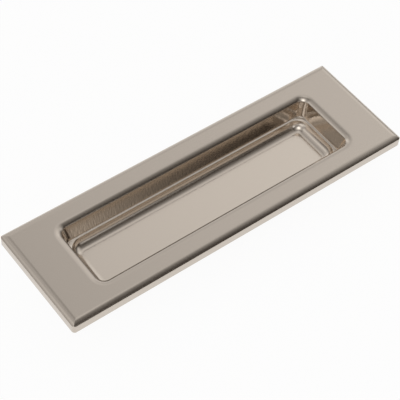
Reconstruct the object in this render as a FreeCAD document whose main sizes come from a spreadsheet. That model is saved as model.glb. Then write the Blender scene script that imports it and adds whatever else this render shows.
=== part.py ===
import FreeCAD, Part
import os

import Sketcher
from FreeCAD import Vector

# Recessed pull for a sliding door: one zinc casting with a rolled flange, a stepped finger recess
# and two tapped bosses on the back. The flange seats on the door's face at z = 0 and looks up +Z.

doc = FreeCAD.newDocument("door_pull")

# Driving dimensions in millimetres
SIZES = [
    ("flange_length", 118.0),
    ("flange_width", 36.5),
    ("flange_height", 3.5),
    ("flange_corner", 1.0),
    ("tray_depth", 6.9),
    ("roll_radius", 3.4),
    ("roll_width", 2.2),
    ("edge_break", 0.3),
    ("lip_length", 89.6),
    ("lip_width", 21.4),
    ("lip_corner", 2.6),
    ("lip_break", 0.2),
    ("upper_draft", 1.07),
    ("ledge_depth", 6.25),
    ("ledge_width", 0.65),
    ("ledge_fall", 0.2),
    ("ledge_fillet", 0.15),
    ("ledge_break", 0.12),
    ("lower_corner", 4.0),
    ("lower_draft", 0.65),
    ("floor_depth", 8.9),
    ("floor_fillet", 3.1),
    ("tray_wall", 1.7),
    ("tray_draft", 2.0),
    ("tray_corner", 5.0),
    ("tray_edge", 2.6),
    ("rim_width", 2.6),
    ("rim_corner", 1.2),
    ("plate_thickness", 2.0),
    ("root_overlap", 0.5),
    ("boss_spacing", 96.0),
    ("boss_radius", 3.6),
    ("boss_length", 6.0),
    ("screw_radius", 1.65),
    ("screw_depth", 7.0),
    ("screw_mouth", 0.3),
    ("cut_margin", 0.7),
    ("cut_height", 1.0),
]
sheet = doc.addObject("Spreadsheet::Sheet", "dims")
for row, (alias, size) in enumerate(SIZES, start=1):
    sheet.set(f"A{row}", alias)
    sheet.set(f"B{row}", str(size))
    sheet.setAlias(f"B{row}", alias)
doc.recompute()

body = doc.addObject("PartDesign::Body", "pull_body")
body.Label = "pull_body"
planes = {feature.Role: feature for feature in body.Origin.OriginFeatures}


def value(expression):
    """The number that a sheet expression has now."""
    return float(sheet.evalExpression(expression))


def new_sketch(name, plane, height="0"):
    """A sketch on one of the body's own planes, lifted along that plane's normal."""
    sketch = body.newObject("Sketcher::SketchObject", name)
    sketch.AttachmentSupport = (planes[plane], [""])
    sketch.MapMode = "FlatFace"
    sketch.setExpression("AttachmentOffset.Base.z", height)
    return sketch


def bind(sketch, constraint, name, expression):
    """Adds a named constraint and drives it from the sheet."""
    index = sketch.addConstraint(constraint)
    sketch.renameConstraint(index, name)
    sketch.setExpression(f"Constraints.{name}", expression)


def rounded_rectangle(name, height, length, width, radius):
    """A sketch of a rounded rectangle centred on the body's axis, at a height above the door."""
    sketch = new_sketch(name, "XY_Plane", height)
    half_x = value(length) / 2
    half_y = value(width) / 2
    r = value(radius)
    corners = [
        Vector(half_x - r, half_y - r),
        Vector(r - half_x, half_y - r),
        Vector(r - half_x, r - half_y),
        Vector(half_x - r, r - half_y),
    ]
    quarter = 1.5707963267948966
    for turn, centre in enumerate(corners):
        circle = Part.Circle(centre, Vector(0, 0, 1), r)
        sketch.addGeometry(Part.ArcOfCircle(circle, turn * quarter, (turn + 1) * quarter))
    spans = [
        (Vector(half_x - r, half_y), Vector(r - half_x, half_y)),
        (Vector(-half_x, half_y - r), Vector(-half_x, r - half_y)),
        (Vector(r - half_x, -half_y), Vector(half_x - r, -half_y)),
        (Vector(half_x, r - half_y), Vector(half_x, half_y - r)),
    ]
    for start, end in spans:
        sketch.addGeometry(Part.LineSegment(start, end))
    for turn in range(4):
        sketch.addConstraint(Sketcher.Constraint("Tangent", turn, 2, turn + 4, 1))
        sketch.addConstraint(Sketcher.Constraint("Tangent", turn + 4, 2, (turn + 1) % 4, 1))
    sketch.addConstraint(Sketcher.Constraint("Horizontal", 4))
    sketch.addConstraint(Sketcher.Constraint("Vertical", 5))
    for turn in range(1, 4):
        sketch.addConstraint(Sketcher.Constraint("Equal", 0, turn))
    sketch.addConstraint(Sketcher.Constraint("Symmetric", 0, 3, 2, 3, -1, 1))
    bind(sketch, Sketcher.Constraint("Radius", 0, r), "radius", radius)
    bind(sketch, Sketcher.Constraint("DistanceX", 5, 1, 7, 1, 2 * half_x), "length", length)
    bind(sketch, Sketcher.Constraint("DistanceY", 6, 1, 4, 1, 2 * half_y), "width", width)
    doc.recompute()
    return sketch


def circle_pair(name, height, spacing, radius):
    """A sketch of two equal circles on the long axis, half the spacing to each side."""
    sketch = new_sketch(name, "XY_Plane", height)
    half = value(spacing) / 2
    r = value(radius)
    for side in (-1, 1):
        sketch.addGeometry(Part.Circle(Vector(side * half, 0), Vector(0, 0, 1), r))
    sketch.addConstraint(Sketcher.Constraint("Equal", 0, 1))
    sketch.addConstraint(Sketcher.Constraint("PointOnObject", 0, 3, -1))
    sketch.addConstraint(Sketcher.Constraint("Symmetric", 0, 3, 1, 3, -2))
    bind(sketch, Sketcher.Constraint("Radius", 0, r), "radius", radius)
    bind(sketch, Sketcher.Constraint("DistanceX", 0, 3, 1, 3, 2 * half), "spacing", spacing)
    doc.recompute()
    return sketch


def roll_section(name, plane, span):
    """The air above the rolled edge, drawn in section at both ends of a span of the flange."""
    sketch = new_sketch(name, plane)
    reach = "dims.roll_width + dims.cut_margin"
    start = value(f"{span} / 2 - dims.roll_width")
    top = value("dims.flange_height")
    clear = value("dims.cut_height")
    r = value("dims.roll_radius")
    run = value(reach)
    fall = r - (r * r - run * run) ** 0.5
    for index, side in enumerate((1, -1)):
        first = 4 * index
        tangent = Vector(side * start, top)
        outer = Vector(side * (start + run), top - fall)
        above = Vector(side * (start + run), top + clear)
        inner = Vector(side * start, top + clear)
        middle = Vector(side * (start + run / 2), top - r + (r * r - run * run / 4) ** 0.5)
        sketch.addGeometry(Part.Arc(tangent, middle, outer))
        sketch.addGeometry(Part.LineSegment(outer, above))
        sketch.addGeometry(Part.LineSegment(above, inner))
        sketch.addGeometry(Part.LineSegment(inner, tangent))
        # The arc runs anticlockwise, so its first point is the outer one on the +side
        near, far = (2, 1) if side > 0 else (1, 2)
        sketch.addConstraint(Sketcher.Constraint("Coincident", first, far, first + 1, 1))
        sketch.addConstraint(Sketcher.Constraint("Coincident", first + 1, 2, first + 2, 1))
        sketch.addConstraint(Sketcher.Constraint("Coincident", first + 2, 2, first + 3, 1))
        sketch.addConstraint(Sketcher.Constraint("Coincident", first + 3, 2, first, near))
        sketch.addConstraint(Sketcher.Constraint("Vertical", first + 1))
        sketch.addConstraint(Sketcher.Constraint("Horizontal", first + 2))
        sketch.addConstraint(Sketcher.Constraint("Vertical", first + 3))
        sketch.addConstraint(Sketcher.Constraint("Vertical", first, 3, first, near))
        tag = "right" if side > 0 else "left"
        bind(sketch, Sketcher.Constraint("Radius", first, r), f"radius_{tag}", "dims.roll_radius")
        bind(
            sketch,
            Sketcher.Constraint("DistanceY", -1, 1, first, near, top),
            f"top_{tag}",
            "dims.flange_height",
        )
        bind(
            sketch,
            Sketcher.Constraint("DistanceY", first + 3, 2, first + 3, 1, clear),
            f"clear_{tag}",
            "dims.cut_height",
        )
        ends = (-1, 1, first, near) if side > 0 else (first, near, -1, 1)
        bind(
            sketch,
            Sketcher.Constraint("DistanceX", *ends, start),
            f"start_{tag}",
            f"{span} / 2 - dims.roll_width",
        )
        across = (first, near, first, far) if side > 0 else (first, far, first, near)
        bind(sketch, Sketcher.Constraint("DistanceX", *across, run), f"run_{tag}", reach)
    doc.recompute()
    return sketch


def pad(name, sketch, length):
    """Metal added upward from a sketch."""
    feature = body.newObject("PartDesign::Pad", name)
    feature.Profile = sketch
    feature.setExpression("Length", length)
    doc.recompute()
    return feature


def pocket(name, sketch, length=None, upward=False):
    """Metal removed from a sketch: downward, upward, or right through in both directions."""
    before = body.Shape.Volume
    feature = body.newObject("PartDesign::Pocket", name)
    feature.Profile = sketch
    if length is None:
        feature.Type = "ThroughAll"
        feature.SideType = "Symmetric"
    else:
        feature.Reversed = upward
        feature.setExpression("Length", length)
    doc.recompute()
    if body.Shape.Volume > before - 0.1:
        raise RuntimeError(f"{name} removes nothing")
    return feature


def loft(name, kind, first, *others):
    """Straight drafted walls from one sketch to the next, as metal or as a hollow."""
    feature = body.newObject(kind, name)
    feature.Profile = first
    feature.Sections = list(others)
    feature.Ruled = True
    doc.recompute()
    return feature


def dress(name, kind, edges, size_name, size):
    """A fillet or chamfer on some edges of the body as it stands."""
    base = body.Tip
    feature = body.newObject(kind, name)
    feature.Base = (base, edges)
    feature.setExpression(size_name, size)
    doc.recompute()
    return feature


def edges_where(test):
    """Names of the body's edges whose middle point, length and box pass a test."""
    names = []
    for index, edge in enumerate(body.Shape.Edges, start=1):
        if test(edge):
            names.append(f"Edge{index}")
    if not names:
        raise RuntimeError("no edge passes the test")
    return names


def level(edge, height):
    """Whether a whole edge lies at one height."""
    box = edge.BoundBox
    return abs(box.ZMin - height) < 1e-4 and abs(box.ZMax - height) < 1e-4


def within(edge, half_x, half_y):
    """Whether an edge stays inside a centred rectangle."""
    box = edge.BoundBox
    return max(abs(box.XMin), abs(box.XMax)) < half_x and max(abs(box.YMin), abs(box.YMax)) < half_y


# Levels above the door's face
SEAT = "0"
TOP = "dims.flange_height"
LIP_DROP = "(dims.roll_radius - sqrt(dims.roll_radius ^ 2 - dims.roll_width ^ 2))"
LIP = f"dims.flange_height - {LIP_DROP}"
LEDGE = "dims.flange_height - dims.ledge_depth"
LEDGE_EDGE = f"{LEDGE} - dims.ledge_fall"
FLOOR = "dims.flange_height - dims.floor_depth"
BACK = "-dims.tray_depth"
BOSS_END = "-dims.boss_length"
ROOT = "dims.flange_height - dims.plate_thickness + dims.root_overlap"

# Flange plate standing on the door face
plate = rounded_rectangle(
    "plate_outline", SEAT, "dims.flange_length", "dims.flange_width", "dims.flange_corner"
)
pad("plate", plate, "dims.flange_height")

# Outer edge of the flange, rolled down on its long sides and its ends
pocket("side_roll", roll_section("side_roll_section", "YZ_Plane", "dims.flange_width"))
pocket("end_roll", roll_section("end_roll_section", "XZ_Plane", "dims.flange_length"))

# Corner between the roll and the upright side, slightly broken all round
top = value(TOP)
half_x = value("dims.flange_length / 2")
half_y = value("dims.flange_width / 2")
corner = value("dims.flange_corner")


def on_side(edge):
    """Whether an edge lies on the flange's upright sides, above the seat."""
    box = edge.BoundBox
    if box.ZMin < top / 2 or box.ZMax > top - 0.1:
        return False
    for vertex in edge.Vertexes:
        off_x = max(abs(vertex.X) - (half_x - corner), 0)
        off_y = max(abs(vertex.Y) - (half_y - corner), 0)
        if abs(max(off_x, off_y, (off_x**2 + off_y**2) ** 0.5) - corner) > 1e-3:
            return False
    return True


dress("edge_round", "PartDesign::Fillet", edges_where(on_side), "Radius", "dims.edge_break")

# Underside of the flange cored out, leaving a rim to seat on the door
relief = rounded_rectangle(
    "relief_outline",
    SEAT,
    "dims.flange_length - 2 * dims.rim_width",
    "dims.flange_width - 2 * dims.rim_width",
    "dims.rim_corner",
)
pocket("relief", relief, "dims.flange_height - dims.plate_thickness", upward=True)

# Outside of the tray, tapering to its back
tray_root = rounded_rectangle(
    "tray_root",
    ROOT,
    "dims.lip_length + 2 * dims.tray_wall",
    "dims.lip_width + 2 * dims.tray_wall",
    "dims.tray_corner",
)
tray_back = rounded_rectangle(
    "tray_back",
    BACK,
    "dims.lip_length + 2 * dims.tray_wall - 2 * dims.tray_draft",
    "dims.lip_width + 2 * dims.tray_wall - 2 * dims.tray_draft",
    "dims.tray_corner",
)
loft("tray", "PartDesign::AdditiveLoft", tray_back, tray_root)
back_edges = edges_where(lambda e: level(e, value(BACK)))
dress("tray_round", "PartDesign::Fillet", back_edges, "Radius", "dims.tray_edge")

# Bosses behind the wide ends of the flange
bosses = circle_pair("boss_circles", BOSS_END, "dims.boss_spacing", "dims.boss_radius")
pad("bosses", bosses, f"{ROOT} + dims.boss_length")

# Lip of the recess: a narrower opening with a large round, cut back to a crisp edge by the recess
neck = rounded_rectangle(
    "neck_outline",
    TOP,
    "dims.lip_length - 2 * (dims.roll_radius - dims.roll_width)",
    "dims.lip_width - 2 * (dims.roll_radius - dims.roll_width)",
    "dims.lip_corner - (dims.roll_radius - dims.roll_width)",
)
pocket("neck", neck, "dims.roll_radius + dims.cut_height")
half_lip_x = value("dims.lip_length / 2")
half_lip_y = value("dims.lip_width / 2")
mouth = edges_where(lambda e: level(e, top) and within(e, half_lip_x, half_lip_y))
dress("lip_roll", "PartDesign::Fillet", mouth, "Radius", "dims.roll_radius")


def recess_outline(name, height, inset, radius):
    """The recess at one height, drawn in from the lip by an inset."""
    length = f"dims.lip_length - 2 * ({inset})"
    width = f"dims.lip_width - 2 * ({inset})"
    return rounded_rectangle(name, height, length, width, radius)


# Recess: a drafted wall below the lip, a narrow sloping ledge, and a smaller tray with rounder corners.
# The wall's line is carried up past the lip, so that the two meet at the roll's lower edge.
ABOVE_LIP = f"-dims.upper_draft * {LIP_DROP} / (dims.ledge_depth - {LIP_DROP})"
LEDGE_INSET = "dims.upper_draft + dims.ledge_width"
loft(
    "recess",
    "PartDesign::SubtractiveLoft",
    recess_outline("recess_top", TOP, ABOVE_LIP, "dims.lip_corner"),
    recess_outline("wall_foot", LEDGE, "dims.upper_draft", "dims.lip_corner"),
    recess_outline("ledge_edge", LEDGE_EDGE, LEDGE_INSET, "dims.lower_corner"),
    recess_outline(
        "floor_outline",
        FLOOR,
        f"{LEDGE_INSET} + dims.lower_draft",
        "dims.lower_corner - dims.lower_draft",
    ),
)


def round_level(name, height, size):
    """Rounds the edges of the recess that lie at one height."""
    z = value(height)
    clear = value("dims.cut_margin")
    edges = edges_where(lambda e: level(e, z) and within(e, half_lip_x + clear, half_lip_y + clear))
    dress(name, "PartDesign::Fillet", edges, "Radius", size)


round_level("floor_round", FLOOR, "dims.floor_fillet")
round_level("ledge_break", LEDGE_EDGE, "dims.ledge_break")
round_level("ledge_round", LEDGE, "dims.ledge_fillet")
round_level("lip_break", LIP, "dims.lip_break")

# Blind tapped holes in the bosses
holes = circle_pair("screw_circles", BOSS_END, "dims.boss_spacing", "dims.screw_radius")
pocket("screw_holes", holes, "dims.screw_depth", upward=True)
boss_z = value(BOSS_END)
screw_r = value("dims.screw_radius")
mouths = edges_where(
    lambda e: level(e, boss_z) and isinstance(e.Curve, Part.Circle) and abs(e.Curve.Radius - screw_r) < 1e-6
)
dress("screw_mouths", "PartDesign::Chamfer", mouths, "Size", "dims.screw_mouth")

doc.recompute()
for item in doc.Objects:
    if "Invalid" in item.State or "Error" in item.State:
        raise RuntimeError(f"{item.Name} failed: {item.State}")
shape = body.Shape
if shape.isNull() or not shape.isValid() or len(shape.Solids) != 1:
    raise RuntimeError("pull_body is not one valid solid")

os.makedirs("parts", exist_ok=True)
shape.exportStep(f"parts/{body.Label}.step")
box = shape.BoundBox
print(f"pull_body {box.XLength:.2f} x {box.YLength:.2f} x {box.ZLength:.2f} mm, {shape.Volume:.0f} mm3")
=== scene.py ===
import math

import bpy
from mathutils import Matrix, Vector


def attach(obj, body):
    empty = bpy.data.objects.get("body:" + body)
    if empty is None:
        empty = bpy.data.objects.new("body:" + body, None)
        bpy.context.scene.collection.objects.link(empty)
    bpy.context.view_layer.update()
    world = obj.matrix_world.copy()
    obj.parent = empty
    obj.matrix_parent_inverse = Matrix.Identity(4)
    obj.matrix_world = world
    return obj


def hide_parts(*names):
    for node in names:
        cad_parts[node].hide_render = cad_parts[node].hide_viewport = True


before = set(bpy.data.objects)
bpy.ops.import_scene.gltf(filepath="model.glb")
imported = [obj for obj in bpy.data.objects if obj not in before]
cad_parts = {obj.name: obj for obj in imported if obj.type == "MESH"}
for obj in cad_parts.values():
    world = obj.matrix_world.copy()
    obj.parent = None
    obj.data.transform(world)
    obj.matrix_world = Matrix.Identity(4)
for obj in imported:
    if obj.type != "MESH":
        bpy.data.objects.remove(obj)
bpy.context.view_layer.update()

MM = 0.001

# Sizes of the pull in millimetres, as in the part's own source but for the ledge's slightly smaller fall
FLANGE = (59.0, 18.25)
FLANGE_CORNER = 1.0
TOP = 3.5
ROLL_RADIUS = 3.4
ROLL_WIDTH = 2.2
EDGE_BREAK = 0.3
LIP = (44.8, 10.7)
LIP_CORNER = 2.6
LIP_BREAK = 0.2
UPPER_DRAFT = 1.07
LEDGE_DEPTH = 6.25
LEDGE_WIDTH = 0.65
LEDGE_FALL = 0.11
LEDGE_FILLET = 0.15
LEDGE_BREAK = 0.12
LOWER_CORNER = 4.0
LOWER_DRAFT = 0.65
FLOOR_DEPTH = 8.9
FLOOR_FILLET = 3.1
TRAY_WALL = 1.7
TRAY_DRAFT = 2.0
TRAY_CORNER = 5.0
TRAY_EDGE = 2.6
TRAY_DEPTH = 6.9
RIM_WIDTH = 2.6
RIM_CORNER = 1.2
PLATE = 2.0
ROOT_OVERLAP = 0.5
BOSS_X = 48.0
BOSS_RADIUS = 3.6
BOSS_LENGTH = 6.0
SCREW_RADIUS = 1.65
SCREW_DEPTH = 7.0
SCREW_MOUTH = 0.3

# Where the rolled edges end, as an angle and as the height of the lip
ROLL_END = math.asin(ROLL_WIDTH / ROLL_RADIUS)
LIP_Z = TOP - ROLL_RADIUS * (1 - math.cos(ROLL_END))
CEILING = TOP - PLATE

# The boss's root is sunk into the plate and kept out of the recess wall; lower down the boss is round
BOSS_SUNK = 0.2
BOSS_NEAREST = 45.3
BOSS_ROUND_Z = -1.0

# Mesh density
CORNER_STEPS = 16
LONG_STEPS = 48
SHORT_STEPS = 12
ROLL_STEPS = 16
FILLET_STEPS = 10
BREAK_STEPS = 5
BOSS_STEPS = 48
HIP_RADIUS = 0.12
LEAST_CORNER = 0.3
SHARP_ANGLE = math.radians(30)

# Where the rings of the flat bands lie: distances in millimetres from the round or roll beside them
FLOOR_RINGS = (4.0, 2.5, 1.2, 0.5, 0.2, 0.04)
LIP_RINGS = (0.04, 0.5, 1.5)
EDGE_RINGS = (1.2, 0.4, 0.04)
BACK_RINGS = (0.04, 1.0, 4.0)
WALL_SHARES = (0.2, 0.4, 0.6, 0.8, 0.9)
SIDE_HEIGHTS = (1.2, 0.05, 0.0)

# Room left for the broken edges at the ends of the rolls: an angle at the lip, a distance at the outer edge
LIP_GAP = 0.12
EDGE_GAP = 0.12

# Material of each zone of the casting: face, recess wall, recess floor and the round into the floor
FACE, WALL, FLOOR, COVE = range(4)
ZONES = {"floor": FLOOR, "lower": COVE, "ledge": WALL, "upper": WALL,
         "lip": FACE, "flange": FACE, "side": FACE, "back": FACE}

# Plating: grain and polishing marks, with depths in metres and counts to a metre along each axis
GRAIN_SCALE = 2600.0
GRAIN_DETAIL = 2.0
GRAIN_DEPTH = 0.000003
GRAIN_LOW = 0.3
GRAIN_HIGH = 0.7
ROUGHNESS_SWING = 0.04
MARK_DETAIL = 1.0
ALONG = (60.0, 900.0, 900.0)
UPRIGHT = (2400.0, 2400.0, 100.0)
FACE_COLOR = (0.60, 0.537, 0.47)
WALL_COLOR = (0.69, 0.617, 0.54)
FLOOR_COLOR = (0.73, 0.653, 0.571)

# Paper under the pull: half its side in metres, its grey, and its glow where the camera or a mirror sees it
PAPER_SIDE = 3.0
PAPER_GREY = 0.92
PAPER_ROUGHNESS = 0.9
GLOW = 1.02
GLOW_SHARE = 0.92

# Studio round the pull: soft patches of light, dark towards the front right.
# Each has its azimuth and elevation in degrees, how sharply it falls off, and its strength.
PATCHES = {
    "low_back": (45, 6, 20, 0.7),
    "low_back_left": (68, 6, 20, 0.5),
    "low_left": (180, 6, 20, 0.8),
    "low_front_left": (225, 6, 20, 1.5),
    "right": (22, 28, 20, 0.79),
    "back_right": (58, 34, 40, 0.22),
    "back": (90, 28, 20, 0.76),
    "back_left": (112, 28, 20, 0.6),
    "left": (202, 28, 20, 0.75),
    "front_left": (250, 25, 40, 0.35),
    "front": (277, 33, 60, 0.7),
    "front_edge": (284, 34, 100, 0.95),
    "front_right": (342, 36, 40, 0.6),
    "right_high": (0, 50, 20, 0.37),
    "panel_right": (30, 50, 20, 0.36),
    "panel_left": (60, 50, 20, 0.41),
    "left_high": (150, 48, 20, 0.86),
    "back_high": (105, 58, 60, 0.4),
    "overhead": (240, 72, 20, 0.75),
    "lamp": (227, 60, 40, 1.8),
    "ceiling": (45, 74, 60, 0.7),
}
# Weak warm light from all round, as from a room
FILL = 0.03
FILL_COLOR = (1.0, 0.7, 0.45)

# Camera at the photograph's viewing angle, placed in millimetres
SENSOR_WIDTH = 36.0
LENS = 118.37
CLIP_START = 0.01
CAMERA_PLACE = (-161.49, -176.40, 296.78)
CAMERA_RIGHT = (0.794, -0.6045, 0.0648)
CAMERA_FORWARD = (0.4159, 0.4623, -0.7832)


def spread(first, last, steps):
    return [first + (last - first) * k / steps for k in range(steps + 1)]


def inset(half, amount):
    return half[0] - amount, half[1] - amount


def ring(half, radius, z):
    """Points of a rounded rectangle, anticlockwise from the +x side, at the height or height function z."""
    hx, hy = half
    radius = min(radius, hx, hy)
    points = []
    corners = [(hx - radius, hy - radius), (radius - hx, hy - radius),
               (radius - hx, radius - hy), (hx - radius, radius - hy)]
    for turn, (cx, cy) in enumerate(corners):
        for step in range(CORNER_STEPS + 1):
            angle = (turn + step / CORNER_STEPS) * math.pi / 2
            points.append((cx + radius * math.cos(angle), cy + radius * math.sin(angle)))
        nx, ny = corners[(turn + 1) % 4]
        start = points[-1]
        angle = (turn + 1) * math.pi / 2
        end = (nx + radius * math.cos(angle), ny + radius * math.sin(angle))
        steps = LONG_STEPS if turn % 2 == 0 else SHORT_STEPS
        for step in range(1, steps):
            share = step / steps
            points.append((start[0] + (end[0] - start[0]) * share, start[1] + (end[1] - start[1]) * share))
    return [(x, y, z(x, y) if callable(z) else z) for x, y in points]


def roll_height(x, y):
    """Height of the rolled outer edge above a point of the flange."""
    run = max(abs(x) - (FLANGE[0] - ROLL_WIDTH), abs(y) - (FLANGE[1] - ROLL_WIDTH), 0.0)
    return TOP - ROLL_RADIUS + math.sqrt(ROLL_RADIUS ** 2 - run ** 2)


def rounded_edge(edge_z, flat, steep, radius, bulge):
    """Offsets and heights along the arc that rounds an edge, from its flat side to its steep side.

    The sides' tilts are angles from level. bulge is 1 for a broken outside edge and -1 for a filled inside
    edge.
    """
    tangent = radius * math.tan((steep - flat) / 2)
    centre = -bulge * (tangent * math.cos(flat) + radius * math.sin(flat))
    centre_z = edge_z + bulge * (tangent * math.sin(flat) - radius * math.cos(flat))
    reach = bulge * radius
    return [(centre + reach * math.sin(angle), centre_z + reach * math.cos(angle))
            for angle in spread(flat, steep, BREAK_STEPS)]


def recess_rings():
    """Rings from the middle of the recess floor up to the lip, each with the zone of the band below it."""
    floor_z = TOP - FLOOR_DEPTH
    ledge_z = TOP - LEDGE_DEPTH
    mouth_z = ledge_z - LEDGE_FALL
    upper_foot = inset(LIP, UPPER_DRAFT)
    mouth = inset(upper_foot, LEDGE_WIDTH)
    foot = inset(mouth, LOWER_DRAFT)
    foot_corner = LOWER_CORNER - LOWER_DRAFT
    ledge_tilt = math.atan2(LEDGE_FALL, LEDGE_WIDTH)
    lower_steep = math.pi / 2 - math.atan2(LOWER_DRAFT, mouth_z - floor_z)
    slope = UPPER_DRAFT / (LIP_Z - ledge_z)
    upper_steep = math.pi / 2 - math.atan(slope)
    reach = FLOOR_FILLET * math.tan(lower_steep / 2)
    rings = []
    for distance in FLOOR_RINGS:
        amount = reach + distance
        rings.append(("floor", ring(inset(foot, amount), max(foot_corner - amount, LEAST_CORNER), floor_z)))
    for angle in spread(0, lower_steep, FILLET_STEPS):
        amount = reach - FLOOR_FILLET * math.sin(angle)
        z = floor_z + FLOOR_FILLET * (1 - math.cos(angle))
        rings.append(("lower", ring(inset(foot, amount), foot_corner - amount, z)))
    for amount, z in reversed(rounded_edge(mouth_z, ledge_tilt, lower_steep, LEDGE_BREAK, 1)):
        rings.append(("lower", ring(inset(mouth, amount), LOWER_CORNER - amount, z)))
    for step, (amount, z) in enumerate(rounded_edge(ledge_z, ledge_tilt, upper_steep, LEDGE_FILLET, -1)):
        rings.append(("upper" if step else "ledge", ring(inset(upper_foot, amount), LIP_CORNER, z)))
    for share in WALL_SHARES:
        z = ledge_z + (LIP_Z - ledge_z) * share
        rings.append(("upper", ring(inset(LIP, slope * (LIP_Z - z)), LIP_CORNER, z)))
    for amount, z in reversed(rounded_edge(LIP_Z, ROLL_END, upper_steep, LIP_BREAK, 1)):
        rings.append(("lip", ring(inset(LIP, amount), LIP_CORNER, z)))
    return rings


def face_rings():
    """Rings from the lip across the flange and down its side to the seat."""
    rings = []
    for angle in spread(ROLL_END - LIP_GAP, 0, ROLL_STEPS):
        grown = ROLL_WIDTH - ROLL_RADIUS * math.sin(angle)
        z = TOP - ROLL_RADIUS * (1 - math.cos(angle))
        rings.append(("flange", ring(inset(LIP, -grown), LIP_CORNER + grown, z)))
    for distance in LIP_RINGS:
        grown = ROLL_WIDTH + distance
        rings.append(("flange", ring(inset(LIP, -grown), LIP_CORNER + grown, TOP)))
    for distance in EDGE_RINGS:
        rings.append(("flange", ring(inset(FLANGE, ROLL_WIDTH + distance), HIP_RADIUS, TOP)))
    break_start = EDGE_BREAK * (1 - math.sin(ROLL_END))
    for angle in spread(0, ROLL_END, ROLL_STEPS)[:-1]:
        amount = ROLL_WIDTH - ROLL_RADIUS * math.sin(angle)
        corner = max(FLANGE_CORNER - amount, HIP_RADIUS)
        rings.append(("flange", ring(inset(FLANGE, amount), corner, roll_height)))
        if amount - break_start < EDGE_GAP:
            break
    outline = ring(FLANGE, FLANGE_CORNER, roll_height)
    for grown, drop in rounded_edge(0.0, ROLL_END, math.pi / 2, EDGE_BREAK, 1):
        level = ring(inset(FLANGE, -grown), FLANGE_CORNER + grown, drop)
        rings.append(("flange", [(x, y, edge[2] + z) for (x, y, z), edge in zip(level, outline)]))
    for z in SIDE_HEIGHTS:
        rings.append(("side", ring(FLANGE, FLANGE_CORNER, z)))
    return rings


def back_rings():
    """Rings from the seat across the cored underside and down the tray to the middle of its back."""
    hollow = inset(FLANGE, RIM_WIDTH)
    root = inset(LIP, -TRAY_WALL)
    back = inset(root, TRAY_DRAFT)
    lean = math.atan2(TRAY_DRAFT, CEILING + ROOT_OVERLAP + TRAY_DEPTH)
    steep = math.pi / 2 - lean
    reach = TRAY_EDGE * math.tan(steep / 2)
    rings = [("back", ring(hollow, RIM_CORNER, 0.0)), ("back", ring(hollow, RIM_CORNER, CEILING))]
    rings.append(("back", ring(inset(root, math.tan(lean) * ROOT_OVERLAP), TRAY_CORNER, CEILING)))
    for angle in spread(steep, 0, FILLET_STEPS):
        amount = reach - TRAY_EDGE * math.sin(angle)
        z = -TRAY_DEPTH + TRAY_EDGE * (1 - math.cos(angle))
        rings.append(("back", ring(inset(back, amount), TRAY_CORNER - amount, z)))
    for distance in BACK_RINGS:
        amount = reach + distance
        corner = max(TRAY_CORNER - amount, LEAST_CORNER)
        rings.append(("back", ring(inset(back, amount), corner, -TRAY_DEPTH)))
    return rings


def boss_rings(side):
    """Rings of one tapped boss, from its root down, over its end and up the hole."""

    def circle(radius, z, nearest=0.0):
        points = []
        for step in range(BOSS_STEPS):
            angle = side * 2 * math.pi * step / BOSS_STEPS
            x = max(BOSS_X + radius * math.cos(angle), nearest)
            points.append((side * x, radius * math.sin(angle), z))
        return points

    end = -BOSS_LENGTH
    return [circle(BOSS_RADIUS, CEILING + BOSS_SUNK, BOSS_NEAREST), circle(BOSS_RADIUS, BOSS_ROUND_Z),
            circle(BOSS_RADIUS, end), circle(SCREW_RADIUS + SCREW_MOUTH, end),
            circle(SCREW_RADIUS, end + SCREW_MOUTH), circle(SCREW_RADIUS, end + SCREW_DEPTH)]


def band(first, second, count):
    """Faces between two rings of vertices that start at these numbers."""
    faces = []
    for i in range(count):
        j = (i + 1) % count
        faces.append([second + i, second + j, first + j, first + i])
    return faces


def build_body(materials):
    """The casting as one mesh of rings, with a material for each zone."""
    rings = recess_rings() + face_rings() + back_rings()
    count = len(rings[0][1])
    vertices = []
    for _, points in rings:
        vertices.extend(points)
    faces = [list(range(count))]
    slots = [ZONES["floor"]]
    for k in range(1, len(rings)):
        faces += band((k - 1) * count, k * count, count)
        slots += [ZONES[rings[k][0]]] * count
    last = (len(rings) - 1) * count
    faces.append(list(range(last, last + count))[::-1])
    for side in (-1, 1):
        base = len(vertices)
        loops = boss_rings(side)
        for points in loops:
            vertices.extend(points)
        for k in range(1, len(loops)):
            faces += band(base + (k - 1) * BOSS_STEPS, base + k * BOSS_STEPS, BOSS_STEPS)
        end = base + (len(loops) - 1) * BOSS_STEPS
        faces.append(list(range(end, end + BOSS_STEPS))[::-1])
    slots += [ZONES["back"]] * (len(faces) - len(slots))
    mesh = bpy.data.meshes.new("pull_body_skin")
    mesh.from_pydata([(x * MM, y * MM, z * MM) for x, y, z in vertices], [], faces)
    for material in materials:
        mesh.materials.append(material)
    mesh.polygons.foreach_set("material_index", slots)
    mesh.polygons.foreach_set("use_smooth", [True] * len(faces))
    mesh.validate()
    mesh.set_sharp_from_angle(angle=SHARP_ANGLE)
    body = bpy.data.objects.new("pull_body_skin", mesh)
    bpy.context.scene.collection.objects.link(body)
    return body


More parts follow.
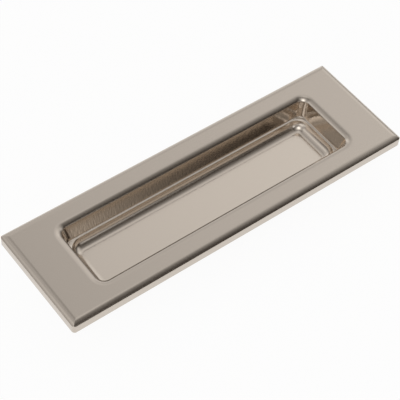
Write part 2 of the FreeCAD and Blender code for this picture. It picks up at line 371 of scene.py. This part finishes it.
def nickel(name, color, roughness, marks, depth):
    """Satin nickel plate: a fine blasted grain, and polishing marks finer along some axes than others."""
    material = bpy.data.materials.new(name)
    material.use_nodes = True
    nodes = material.node_tree.nodes
    links = material.node_tree.links
    shader = nodes["Principled BSDF"]
    shader.inputs["Base Color"].default_value = (*color, 1)
    shader.inputs["Metallic"].default_value = 1.0
    coord = nodes.new("ShaderNodeTexCoord")
    grain = nodes.new("ShaderNodeTexNoise")
    grain.inputs["Scale"].default_value = GRAIN_SCALE
    grain.inputs["Detail"].default_value = GRAIN_DETAIL
    links.new(coord.outputs["Object"], grain.inputs["Vector"])
    sheen = nodes.new("ShaderNodeMapRange")
    sheen.inputs["From Min"].default_value = GRAIN_LOW
    sheen.inputs["From Max"].default_value = GRAIN_HIGH
    sheen.inputs["To Min"].default_value = roughness - ROUGHNESS_SWING
    sheen.inputs["To Max"].default_value = roughness + ROUGHNESS_SWING
    links.new(grain.outputs[0], sheen.inputs["Value"])
    links.new(sheen.outputs["Result"], shader.inputs["Roughness"])
    blast = nodes.new("ShaderNodeBump")
    blast.inputs["Strength"].default_value = 1.0
    blast.inputs["Distance"].default_value = GRAIN_DEPTH
    links.new(grain.outputs[0], blast.inputs["Height"])
    stretch = nodes.new("ShaderNodeMapping")
    stretch.inputs["Scale"].default_value = marks
    links.new(coord.outputs["Object"], stretch.inputs["Vector"])
    lines = nodes.new("ShaderNodeTexNoise")
    lines.inputs["Scale"].default_value = 1.0
    lines.inputs["Detail"].default_value = MARK_DETAIL
    links.new(stretch.outputs[0], lines.inputs["Vector"])
    polish = nodes.new("ShaderNodeBump")
    polish.inputs["Strength"].default_value = 1.0
    polish.inputs["Distance"].default_value = depth
    links.new(lines.outputs[0], polish.inputs["Height"])
    links.new(blast.outputs[0], polish.inputs["Normal"])
    links.new(polish.outputs[0], shader.inputs["Normal"])
    return material


def glowing_paper():
    """White paper that glows for the camera and for mirrored rays, and keeps a share of the shadow."""
    paper = bpy.data.materials.new("floor_paper")
    paper.use_nodes = True
    nodes = paper.node_tree.nodes
    links = paper.node_tree.links
    shader = nodes["Principled BSDF"]
    shader.inputs["Base Color"].default_value = (PAPER_GREY, PAPER_GREY, PAPER_GREY, 1)
    shader.inputs["Roughness"].default_value = PAPER_ROUGHNESS
    shader.inputs["Specular IOR Level"].default_value = 0.0
    glow = nodes.new("ShaderNodeEmission")
    glow.inputs["Strength"].default_value = GLOW
    path = nodes.new("ShaderNodeLightPath")
    seen = nodes.new("ShaderNodeMath")
    seen.operation = "MAXIMUM"
    links.new(path.outputs["Is Camera Ray"], seen.inputs[0])
    links.new(path.outputs["Is Glossy Ray"], seen.inputs[1])
    share = nodes.new("ShaderNodeMath")
    share.operation = "MULTIPLY"
    share.inputs[1].default_value = GLOW_SHARE
    links.new(seen.outputs[0], share.inputs[0])
    mix = nodes.new("ShaderNodeMixShader")
    links.new(share.outputs[0], mix.inputs[0])
    links.new(shader.outputs[0], mix.inputs[1])
    links.new(glow.outputs[0], mix.inputs[2])
    links.new(mix.outputs[0], nodes["Material Output"].inputs["Surface"])
    return paper


def build_floor():
    """Pale floor under the tray's back."""
    mesh = bpy.data.meshes.new("floor")
    side = PAPER_SIDE
    z = -TRAY_DEPTH * MM
    corners = [(-side, -side, z), (side, -side, z), (side, side, z), (-side, side, z)]
    mesh.from_pydata(corners, [], [(0, 1, 2, 3)])
    mesh.materials.append(glowing_paper())
    floor = bpy.data.objects.new("floor", mesh)
    bpy.context.scene.collection.objects.link(floor)
    return floor


def light_studio():
    """World light as a sum of soft patches, with a weak fill from all round."""
    world = bpy.data.worlds.new("studio")
    bpy.context.scene.world = world
    world.use_nodes = True
    nodes = world.node_tree.nodes
    links = world.node_tree.links
    background = nodes["Background"]
    coord = nodes.new("ShaderNodeTexCoord")
    total = None
    for name, (azimuth, elevation, sharpness, strength) in PATCHES.items():
        turn = math.radians(azimuth)
        rise = math.radians(elevation)
        level = math.cos(rise)
        facing = nodes.new("ShaderNodeVectorMath")
        facing.name = name
        facing.operation = "DOT_PRODUCT"
        facing.inputs[1].default_value = (level * math.cos(turn), level * math.sin(turn), math.sin(rise))
        links.new(coord.outputs["Generated"], facing.inputs[0])
        falloff = nodes.new("ShaderNodeMath")
        falloff.operation = "MULTIPLY_ADD"
        falloff.inputs[1].default_value = sharpness
        falloff.inputs[2].default_value = -sharpness
        links.new(facing.outputs["Value"], falloff.inputs[0])
        lobe = nodes.new("ShaderNodeMath")
        lobe.operation = "EXPONENT"
        links.new(falloff.outputs[0], lobe.inputs[0])
        added = nodes.new("ShaderNodeMath")
        added.operation = "MULTIPLY_ADD"
        added.inputs[1].default_value = strength
        added.inputs[2].default_value = 0.0
        links.new(lobe.outputs[0], added.inputs[0])
        if total:
            links.new(total.outputs[0], added.inputs[2])
        total = added
    links.new(total.outputs[0], background.inputs["Strength"])
    background.inputs["Color"].default_value = (1, 1, 1, 1)
    room = nodes.new("ShaderNodeBackground")
    room.inputs["Color"].default_value = (*FILL_COLOR, 1)
    room.inputs["Strength"].default_value = FILL
    both = nodes.new("ShaderNodeAddShader")
    links.new(background.outputs[0], both.inputs[0])
    links.new(room.outputs[0], both.inputs[1])
    links.new(both.outputs[0], nodes["World Output"].inputs["Surface"])


def place_camera():
    data = bpy.data.cameras.new("camera")
    data.sensor_width = SENSOR_WIDTH
    data.lens = LENS
    data.clip_start = CLIP_START
    camera = bpy.data.objects.new("camera", data)
    forward = Vector(CAMERA_FORWARD).normalized()
    up = Vector(CAMERA_RIGHT).normalized().cross(forward).normalized()
    right = forward.cross(up)
    turn = Matrix((right, up, -forward)).transposed().to_4x4()
    camera.matrix_world = Matrix.Translation(Vector(CAMERA_PLACE) * MM) @ turn
    bpy.context.scene.collection.objects.link(camera)
    bpy.context.scene.camera = camera


satin = nickel("satin_nickel", FACE_COLOR, roughness=0.19, marks=ALONG, depth=0.000003)
wall = nickel("wall_nickel", WALL_COLOR, roughness=0.11, marks=UPRIGHT, depth=0.00002)
floor_plate = nickel("floor_nickel", FLOOR_COLOR, roughness=0.12, marks=ALONG, depth=0.000002)
cove = nickel("cove_nickel", WALL_COLOR, roughness=0.2, marks=ALONG, depth=0.000002)
body = build_body([satin, wall, floor_plate, cove])
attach(body, "root")
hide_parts("pull_body")

floor = build_floor()

light_studio()
place_camera()
bpy.context.scene.view_settings.view_transform = "Standard"
